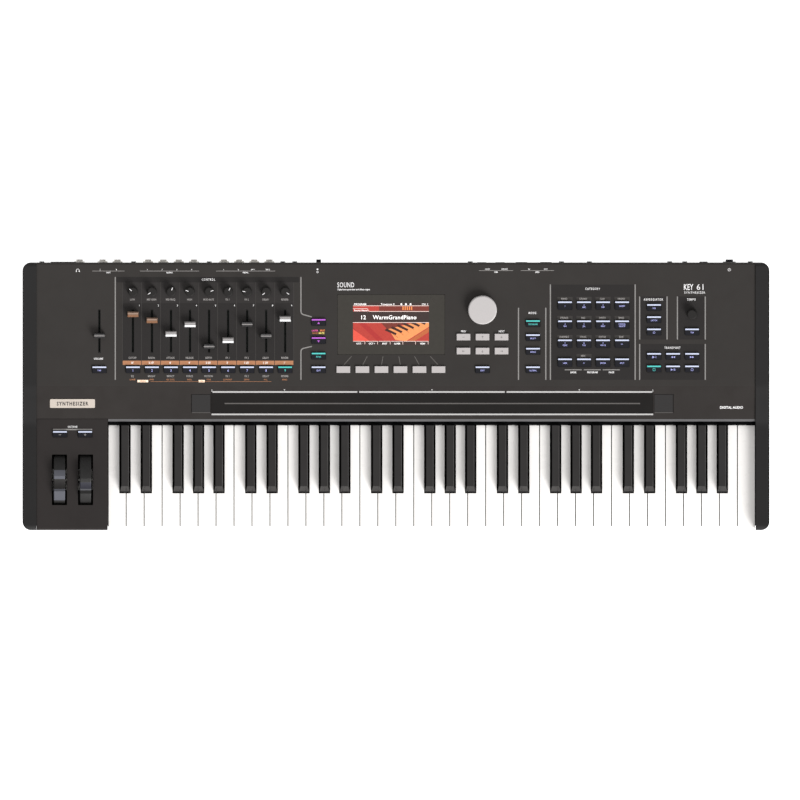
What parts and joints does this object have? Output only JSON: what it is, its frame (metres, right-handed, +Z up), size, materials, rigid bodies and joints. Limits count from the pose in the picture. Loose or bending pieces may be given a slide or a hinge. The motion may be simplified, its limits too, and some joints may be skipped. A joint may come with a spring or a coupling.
{
  "type": "synthesizer",
  "caption": "Keyboard synthesizer with piano-size keys, pitch and modulation wheels, ribbon strip, faders, knobs, pads, data dial and a colour display on a charcoal sloped panel.",
  "frame": {"origin": "on the surface that the feet stand on, under the middle of the whole instrument, socket bushings included", "axes": "+X towards the treble end (player's right), +Y towards the rear sockets (away from the player), +Z up"},
  "size_m": [0.9764, 0.354, 0.1099],
  "materials": {
    "panel_metal": "fine satin powder coat, charcoal",
    "case_metal": "satin black powder coat",
    "case_plastic": "fine-textured charcoal moulding",
    "cheek_plastic": "fine-textured dark charcoal moulding",
    "white_key_plastic": "polished white, slightly warm",
    "black_key_plastic": "satin black",
    "control_plastic": "soft satin black",
    "grey_button_plastic": "satin light grey",
    "dial_plastic": "satin light grey, spun top",
    "wheel_rubber": "matt charcoal rubber tread",
    "ribbon_film": "matt black touch film",
    "display_window": "clear window over a dark screen",
    "badge_plastic": "ivory enamel",
    "action_steel": "zinc plated sheet and ground rod",
    "socket_metal": "nickel plated bushings on black bodies",
    "pot_metal": "tin plated",
    "board": "green solder mask",
    "foot_rubber": "matt black rubber",
    "screw_steel": "black oxide"
  },
  "bodies": {
    "root": {"top_panel": "panel_metal", "left_cheek": "cheek_plastic", "right_cheek": "cheek_plastic", "bottom_pan": "case_metal", "rear_panel": "case_metal", "front_rail": "case_metal", "wheel_panel": "case_plastic", "key_frame": "action_steel", "wheel_bracket": "action_steel", "potentiometers": "pot_metal", "ribbon_controller": "ribbon_film", "display": "display_window", "nameplate": "badge_plastic", "rear_sockets": "socket_metal", "rubber_feet": "foot_rubber", "case_screws": "screw_steel", "circuit_boards": "board"},
    "keys_c": {"keys_c": "white_key_plastic"},
    "keys_c_sharp": {"keys_c_sharp": "black_key_plastic"},
    "keys_d": {"keys_d": "white_key_plastic"},
    "keys_d_sharp": {"keys_d_sharp": "black_key_plastic"},
    "keys_e": {"keys_e": "white_key_plastic"},
    "keys_f": {"keys_f": "white_key_plastic"},
    "keys_f_sharp": {"keys_f_sharp": "black_key_plastic"},
    "keys_g": {"keys_g": "white_key_plastic"},
    "keys_g_sharp": {"keys_g_sharp": "black_key_plastic"},
    "keys_a": {"keys_a": "white_key_plastic"},
    "keys_a_sharp": {"keys_a_sharp": "black_key_plastic"},
    "keys_b": {"keys_b": "white_key_plastic"},
    "fader_1": {"fader_1": "control_plastic"},
    "fader_2": {"fader_2": "control_plastic"},
    "fader_3": {"fader_3": "control_plastic"},
    "fader_4": {"fader_4": "control_plastic"},
    "fader_5": {"fader_5": "control_plastic"},
    "fader_6": {"fader_6": "control_plastic"},
    "fader_7": {"fader_7": "control_plastic"},
    "fader_8": {"fader_8": "control_plastic"},
    "fader_9": {"fader_9": "control_plastic"},
    "volume_fader": {"volume_fader": "control_plastic"},
    "knob_1": {"knob_1": "control_plastic"},
    "knob_2": {"knob_2": "control_plastic"},
    "knob_3": {"knob_3": "control_plastic"},
    "knob_4": {"knob_4": "control_plastic"},
    "knob_5": {"knob_5": "control_plastic"},
    "knob_6": {"knob_6": "control_plastic"},
    "knob_7": {"knob_7": "control_plastic"},
    "knob_8": {"knob_8": "control_plastic"},
    "knob_9": {"knob_9": "control_plastic"},
    "tempo_knob": {"tempo_knob": "control_plastic"},
    "data_dial": {"data_dial": "dial_plastic"},
    "pitch_wheel": {"pitch_wheel": "wheel_rubber"},
    "mod_wheel": {"mod_wheel": "wheel_rubber"},
    "zone_buttons": {"zone_buttons": "control_plastic"},
    "mode_buttons": {"mode_buttons": "control_plastic"},
    "cursor_buttons": {"cursor_buttons": "grey_button_plastic"},
    "category_buttons": {"category_buttons": "control_plastic"},
    "transport_buttons": {"transport_buttons": "control_plastic"},
    "transpose_buttons": {"transpose_buttons": "control_plastic"},
    "power_rocker": {"power_rocker": "control_plastic"},
    "gain_knob": {"gain_knob": "control_plastic"}
  },
  "joints": [
    {"name": "keys_c_press", "type": "hinge", "parent": "root", "child": "keys_c", "pos_m": [0, 0.04, 0.058], "axis": [1, 0, 0], "range_deg": [0, 2.8], "stiffness_Nm_per_rad": 12, "springref_deg": -4.58},
    {"name": "keys_c_sharp_press", "type": "hinge", "parent": "root", "child": "keys_c_sharp", "pos_m": [0, 0.04, 0.058], "axis": [1, 0, 0], "range_deg": [0, 2.8], "stiffness_Nm_per_rad": 10, "springref_deg": -4.58},
    {"name": "keys_d_press", "type": "hinge", "parent": "root", "child": "keys_d", "pos_m": [0, 0.04, 0.058], "axis": [1, 0, 0], "range_deg": [0, 2.8], "stiffness_Nm_per_rad": 10, "springref_deg": -4.58},
    {"name": "keys_d_sharp_press", "type": "hinge", "parent": "root", "child": "keys_d_sharp", "pos_m": [0, 0.04, 0.058], "axis": [1, 0, 0], "range_deg": [0, 2.8], "stiffness_Nm_per_rad": 10, "springref_deg": -4.58},
    {"name": "keys_e_press", "type": "hinge", "parent": "root", "child": "keys_e", "pos_m": [0, 0.04, 0.058], "axis": [1, 0, 0], "range_deg": [0, 2.8], "stiffness_Nm_per_rad": 10, "springref_deg": -4.58},
    {"name": "keys_f_press", "type": "hinge", "parent": "root", "child": "keys_f", "pos_m": [0, 0.04, 0.058], "axis": [1, 0, 0], "range_deg": [0, 2.8], "stiffness_Nm_per_rad": 10, "springref_deg": -4.58},
    {"name": "keys_f_sharp_press", "type": "hinge", "parent": "root", "child": "keys_f_sharp", "pos_m": [0, 0.04, 0.058], "axis": [1, 0, 0], "range_deg": [0, 2.8], "stiffness_Nm_per_rad": 10, "springref_deg": -4.58},
    {"name": "keys_g_press", "type": "hinge", "parent": "root", "child": "keys_g", "pos_m": [0, 0.04, 0.058], "axis": [1, 0, 0], "range_deg": [0, 2.8], "stiffness_Nm_per_rad": 10, "springref_deg": -4.58},
    {"name": "keys_g_sharp_press", "type": "hinge", "parent": "root", "child": "keys_g_sharp", "pos_m": [0, 0.04, 0.058], "axis": [1, 0, 0], "range_deg": [0, 2.8], "stiffness_Nm_per_rad": 10, "springref_deg": -4.58},
    {"name": "keys_a_press", "type": "hinge", "parent": "root", "child": "keys_a", "pos_m": [0, 0.04, 0.058], "axis": [1, 0, 0], "range_deg": [0, 2.8], "stiffness_Nm_per_rad": 10, "springref_deg": -4.58},
    {"name": "keys_a_sharp_press", "type": "hinge", "parent": "root", "child": "keys_a_sharp", "pos_m": [0, 0.04, 0.058], "axis": [1, 0, 0], "range_deg": [0, 2.8], "stiffness_Nm_per_rad": 10, "springref_deg": -4.58},
    {"name": "keys_b_press", "type": "hinge", "parent": "root", "child": "keys_b", "pos_m": [0, 0.04, 0.058], "axis": [1, 0, 0], "range_deg": [0, 2.8], "stiffness_Nm_per_rad": 10, "springref_deg": -4.58},
    {"name": "fader_1_slide", "type": "slide", "parent": "root", "child": "fader_1", "axis": [0, 0.9954, 0.0958], "range_m": [-0.0446, 0.0004]},
    {"name": "fader_2_slide", "type": "slide", "parent": "root", "child": "fader_2", "axis": [0, 0.9954, 0.0958], "range_m": [-0.0367, 0.0083]},
    {"name": "fader_3_slide", "type": "slide", "parent": "root", "child": "fader_3", "axis": [0, 0.9954, 0.0958], "range_m": [-0.0191, 0.0259]},
    {"name": "fader_4_slide", "type": "slide", "parent": "root", "child": "fader_4", "axis": [0, 0.9954, 0.0958], "range_m": [-0.0315, 0.0135]},
    {"name": "fader_5_slide", "type": "slide", "parent": "root", "child": "fader_5", "axis": [0, 0.9954, 0.0958], "range_m": [-0.0029, 0.0421]},
    {"name": "fader_6_slide", "type": "slide", "parent": "root", "child": "fader_6", "axis": [0, 0.9954, 0.0958], "range_m": [-0.0108, 0.0342]},
    {"name": "fader_7_slide", "type": "slide", "parent": "root", "child": "fader_7", "axis": [0, 0.9954, 0.0958], "range_m": [-0.0319, 0.0131]},
    {"name": "fader_8_slide", "type": "slide", "parent": "root", "child": "fader_8", "axis": [0, 0.9954, 0.0958], "range_m": [-0.0167, 0.0283]},
    {"name": "fader_9_slide", "type": "slide", "parent": "root", "child": "fader_9", "axis": [0, 0.9954, 0.0958], "range_m": [-0.0388, 0.0062]},
    {"name": "volume_fader_slide", "type": "slide", "parent": "root", "child": "volume_fader", "axis": [0, 0.9954, 0.0958], "range_m": [-0.017, 0.028]},
    {"name": "knob_1_turn", "type": "hinge", "parent": "root", "child": "knob_1", "pos_m": [-0.3439, 0.1353, 0.10046], "axis": [0, -0.0958, 0.9954], "range_deg": [-200, 100]},
    {"name": "knob_2_turn", "type": "hinge", "parent": "root", "child": "knob_2", "pos_m": [-0.31903, 0.1353, 0.10046], "axis": [0, -0.0958, 0.9954], "range_deg": [-270, 30]},
    {"name": "knob_3_turn", "type": "hinge", "parent": "root", "child": "knob_3", "pos_m": [-0.29416, 0.1353, 0.10046], "axis": [0, -0.0958, 0.9954], "range_deg": [-130, 170]},
    {"name": "knob_4_turn", "type": "hinge", "parent": "root", "child": "knob_4", "pos_m": [-0.26929, 0.1353, 0.10046], "axis": [0, -0.0958, 0.9954], "range_deg": [-220, 80]},
    {"name": "knob_5_turn", "type": "hinge", "parent": "root", "child": "knob_5", "pos_m": [-0.24442, 0.1353, 0.10046], "axis": [0, -0.0958, 0.9954], "range_deg": [-80, 220]},
    {"name": "knob_6_turn", "type": "hinge", "parent": "root", "child": "knob_6", "pos_m": [-0.21955, 0.1353, 0.10046], "axis": [0, -0.0958, 0.9954], "range_deg": [-123, 177]},
    {"name": "knob_7_turn", "type": "hinge", "parent": "root", "child": "knob_7", "pos_m": [-0.19468, 0.1353, 0.10046], "axis": [0, -0.0958, 0.9954], "range_deg": [-232, 68]},
    {"name": "knob_8_turn", "type": "hinge", "parent": "root", "child": "knob_8", "pos_m": [-0.16981, 0.1353, 0.10046], "axis": [0, -0.0958, 0.9954], "range_deg": [-278, 22]},
    {"name": "knob_9_turn", "type": "hinge", "parent": "root", "child": "knob_9", "pos_m": [-0.14494, 0.1353, 0.10046], "axis": [0, -0.0958, 0.9954], "range_deg": [-30, 270]},
    {"name": "tempo_knob_turn", "type": "hinge", "parent": "root", "child": "tempo_knob", "pos_m": [0.38704, 0.1058, 0.09762], "axis": [0, -0.0958, 0.9954], "continuous": true},
    {"name": "data_dial_turn", "type": "hinge", "parent": "root", "child": "data_dial", "pos_m": [0.1131, 0.1114, 0.09816], "axis": [0, -0.0958, 0.9954], "continuous": true},
    {"name": "pitch_bend", "type": "hinge", "parent": "root", "child": "pitch_wheel", "pos_m": [-0.44, -0.1111, 0.051], "axis": [-1, 0, 0], "range_deg": [-28, 28], "stiffness_Nm_per_rad": 0.25},
    {"name": "modulation", "type": "hinge", "parent": "root", "child": "mod_wheel", "pos_m": [-0.4059, -0.1111, 0.051], "axis": [-1, 0, 0], "range_deg": [-12, 38]},
    {"name": "zone_buttons_press", "type": "slide", "parent": "root", "child": "zone_buttons", "axis": [0, 0.0958, -0.9954], "range_m": [0, 0.001], "stiffness_N_per_m": 2000, "springref_m": -0.003},
    {"name": "mode_buttons_press", "type": "slide", "parent": "root", "child": "mode_buttons", "axis": [0, 0.0958, -0.9954], "range_m": [0, 0.001], "stiffness_N_per_m": 1800, "springref_m": -0.003},
    {"name": "cursor_buttons_press", "type": "slide", "parent": "root", "child": "cursor_buttons", "axis": [0, 0.0958, -0.9954], "range_m": [0, 0.001], "stiffness_N_per_m": 2400, "springref_m": -0.003},
    {"name": "category_buttons_press", "type": "slide", "parent": "root", "child": "category_buttons", "axis": [0, 0.0958, -0.9954], "range_m": [0, 0.001], "stiffness_N_per_m": 3200, "springref_m": -0.003},
    {"name": "transport_buttons_press", "type": "slide", "parent": "root", "child": "transport_buttons", "axis": [0, 0.0958, -0.9954], "range_m": [0, 0.001], "stiffness_N_per_m": 2000, "springref_m": -0.003},
    {"name": "transpose_buttons_press", "type": "slide", "parent": "root", "child": "transpose_buttons", "axis": [0, 0, -1], "range_m": [0, 0.001], "stiffness_N_per_m": 400, "springref_m": -0.003},
    {"name": "power_switch", "type": "hinge", "parent": "root", "child": "power_rocker", "pos_m": [0.4357, 0.1705, 0.052], "axis": [1, 0, 0], "range_deg": [0, 16]},
    {"name": "gain_turn", "type": "hinge", "parent": "root", "child": "gain_knob", "pos_m": [-0.1012, 0.173, 0.052], "axis": [0, 1, 0], "range_deg": [-150, 150]}
  ]
}
